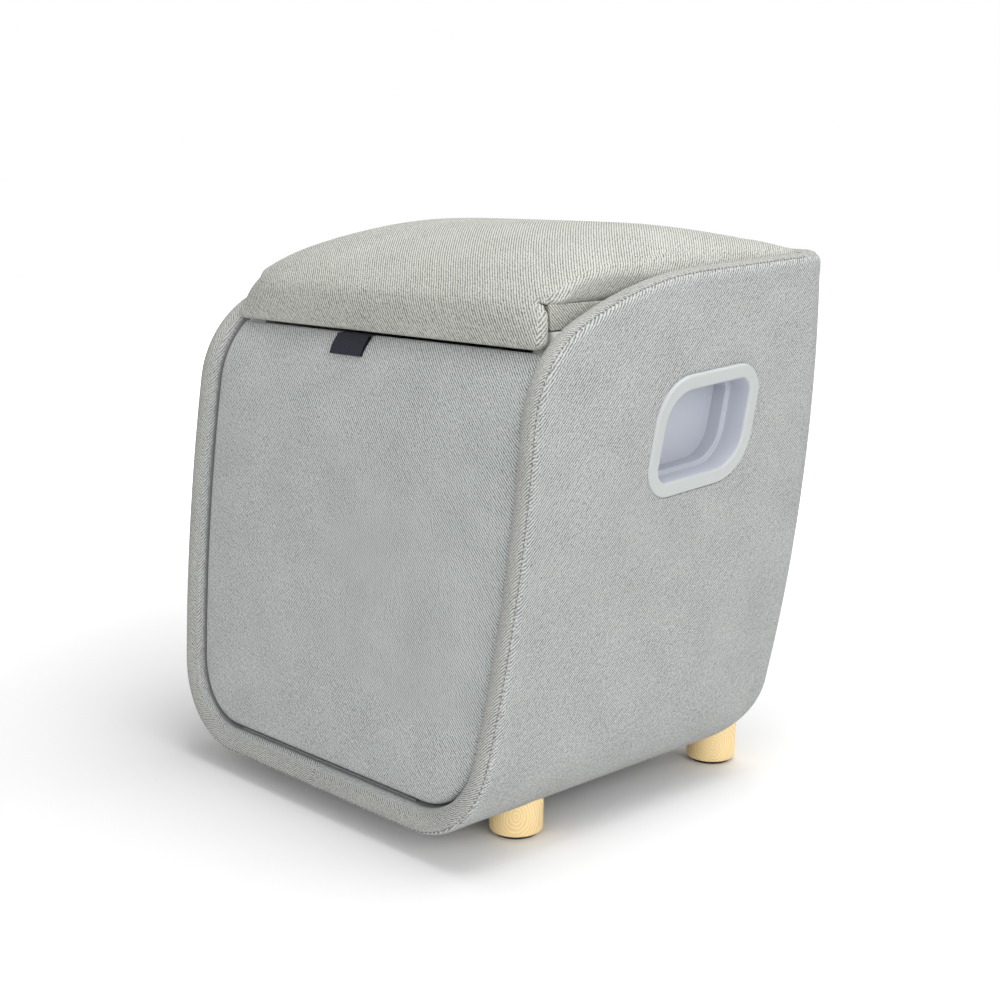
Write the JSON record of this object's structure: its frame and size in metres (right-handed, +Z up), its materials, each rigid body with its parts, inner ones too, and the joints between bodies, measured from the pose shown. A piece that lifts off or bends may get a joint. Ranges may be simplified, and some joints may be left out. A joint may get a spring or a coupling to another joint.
{
  "type": "foot steam sauna",
  "caption": "Upholstered ottoman with a hinged cushion lid and a drop front over a steam tub, on short wooden feet with side carry grips.",
  "frame": {"origin": "centre of the footprint, on the floor", "axes": "+Z up, +X to the right seen from the front, front panel faces -Y"},
  "size_m": [0.443, 0.424, 0.4835],
  "materials": {
    "cover_fabric": "heather weave, soft",
    "lid_fabric": "heather weave, soft",
    "front_fabric": "heather weave, soft",
    "carcass_wood": "sawn birch plywood",
    "foot_wood": "oiled pale wood",
    "grate_wood": "sanded, bare",
    "glide_rubber": "matt",
    "steel": "satin",
    "handle_plastic": "fine texture",
    "liner_plastic": "satin",
    "tub_plastic": "moulded, satin gloss",
    "tank_plastic": "translucent moulding",
    "dark_plastic": "fine texture",
    "key_plastic": "smooth",
    "tab_ribbon": "woven ribbon",
    "strip_fabric": "woven tape",
    "seal_rubber": "soft",
    "boiler_aluminium": "cast",
    "pump_plastic": "moulded",
    "hose_rubber": "soft silicone",
    "board_green": "lacquered board",
    "window_glass": "smoked",
    "chrome_trim": "polished"
  },
  "bodies": {
    "shell": {"shell_cover": "cover_fabric", "shell_carcass": "carcass_wood", "wooden_feet": "foot_wood", "foot_glides": "glide_rubber", "foot_bolts": "steel", "foot_seat_blocks": "carcass_wood", "handle_right": "handle_plastic", "handle_left": "handle_plastic", "front_hinge_strip": "strip_fabric", "strip_clamp_bar": "steel", "steam_tub": "tub_plastic", "kick_panel": "tub_plastic", "strike_plates": "steel", "lid_hinge_pins": "steel", "water_tank": "tank_plastic", "filler_neck": "tank_plastic", "drain_neck": "tank_plastic", "boiler_vessel": "boiler_aluminium", "boiler_lid": "boiler_aluminium", "heating_element": "steel", "pump_body": "pump_plastic", "pump_motor": "steel", "suction_hose": "hose_rubber", "feed_hose": "hose_rubber", "steam_hose": "hose_rubber", "nozzle_ring": "chrome_trim", "temperature_probe": "steel", "power_board": "board_green", "fan_frame": "dark_plastic", "rear_panel": "dark_plastic", "rear_panel_screws": "steel", "power_inlet": "dark_plastic", "switch_housing": "dark_plastic", "control_panel": "dark_plastic", "display_window": "window_glass"},
    "front_flap": {"front_cushion": "front_fabric", "front_board": "carcass_wood", "front_liner": "liner_plastic", "front_magnets": "steel", "front_seal": "seal_rubber"},
    "tab": {"pull_tab": "tab_ribbon"},
    "lid": {"lid_cushion": "lid_fabric", "lid_board": "carcass_wood", "lid_liner": "liner_plastic", "lid_hinge_arms": "steel", "lid_seal": "seal_rubber"},
    "grate": {"grate_slats": "grate_wood", "grate_battens": "grate_wood"},
    "nozzle": {"nozzle_ball": "tub_plastic"},
    "fan": {"fan_rotor": "pump_plastic"},
    "rocker": {"main_switch_rocker": "key_plastic"},
    "power_key": {"power_button": "key_plastic"},
    "timer_key": {"timer_button": "key_plastic"},
    "heat_up_key": {"heat_up_button": "key_plastic"},
    "heat_down_key": {"heat_down_button": "key_plastic"},
    "filler": {"filler_cap": "dark_plastic"},
    "drain": {"drain_plug": "dark_plastic"}
  },
  "joints": [
    {"name": "lid_hinge", "type": "hinge", "parent": "shell", "child": "lid", "pos_m": [0, 0.167, 0.448], "axis": [-1, 0, 0], "range_deg": [0, 90]},
    {"name": "front_hinge", "type": "hinge", "parent": "shell", "child": "front_flap", "pos_m": [0, -0.19934, 0.0395], "axis": [1, 0, 0], "range_deg": [0, 80]},
    {"name": "tab_hinge", "type": "hinge", "parent": "front_flap", "child": "tab", "pos_m": [-0.026, -0.13397, 0.393], "axis": [-1, 0, 0], "range_deg": [0, 55]},
    {"name": "grate_lift", "type": "slide", "parent": "shell", "child": "grate", "axis": [0, 0, 1], "range_m": [0, 0.12]},
    {"name": "nozzle_tilt", "type": "hinge", "parent": "shell", "child": "nozzle", "pos_m": [0, 0.133, 0.214], "axis": [1, 0, 0], "range_deg": [-20, 20]},
    {"name": "fan_spin", "type": "hinge", "parent": "shell", "child": "fan", "pos_m": [-0.058, 0.13851, 0.12261], "axis": [0, 0.9903, -0.1387], "continuous": true},
    {"name": "rocker_tilt", "type": "hinge", "parent": "shell", "child": "rocker", "pos_m": [0.026, 0.16129, 0.11942], "axis": [1, 0, 0], "range_deg": [-8, 8]},
    {"name": "filler_turn", "type": "hinge", "parent": "shell", "child": "filler", "pos_m": [-0.1832, -0.083, 0.41], "axis": [0, 0, 1], "range_deg": [0, 90]},
    {"name": "drain_turn", "type": "hinge", "parent": "shell", "child": "drain", "pos_m": [-0.11, -0.028, 0.022], "axis": [0, 0, 1], "range_deg": [0, 90]},
    {"name": "power_press", "type": "slide", "parent": "shell", "child": "power_key", "axis": [0, 0, -1], "range_m": [0, 0.0015]},
    {"name": "timer_press", "type": "slide", "parent": "shell", "child": "timer_key", "axis": [0, 0, -1], "range_m": [0, 0.0015]},
    {"name": "heat_up_press", "type": "slide", "parent": "shell", "child": "heat_up_key", "axis": [0, 0, -1], "range_m": [0, 0.0015]},
    {"name": "heat_down_press", "type": "slide", "parent": "shell", "child": "heat_down_key", "axis": [0, 0, -1], "range_m": [0, 0.0015]}
  ]
}
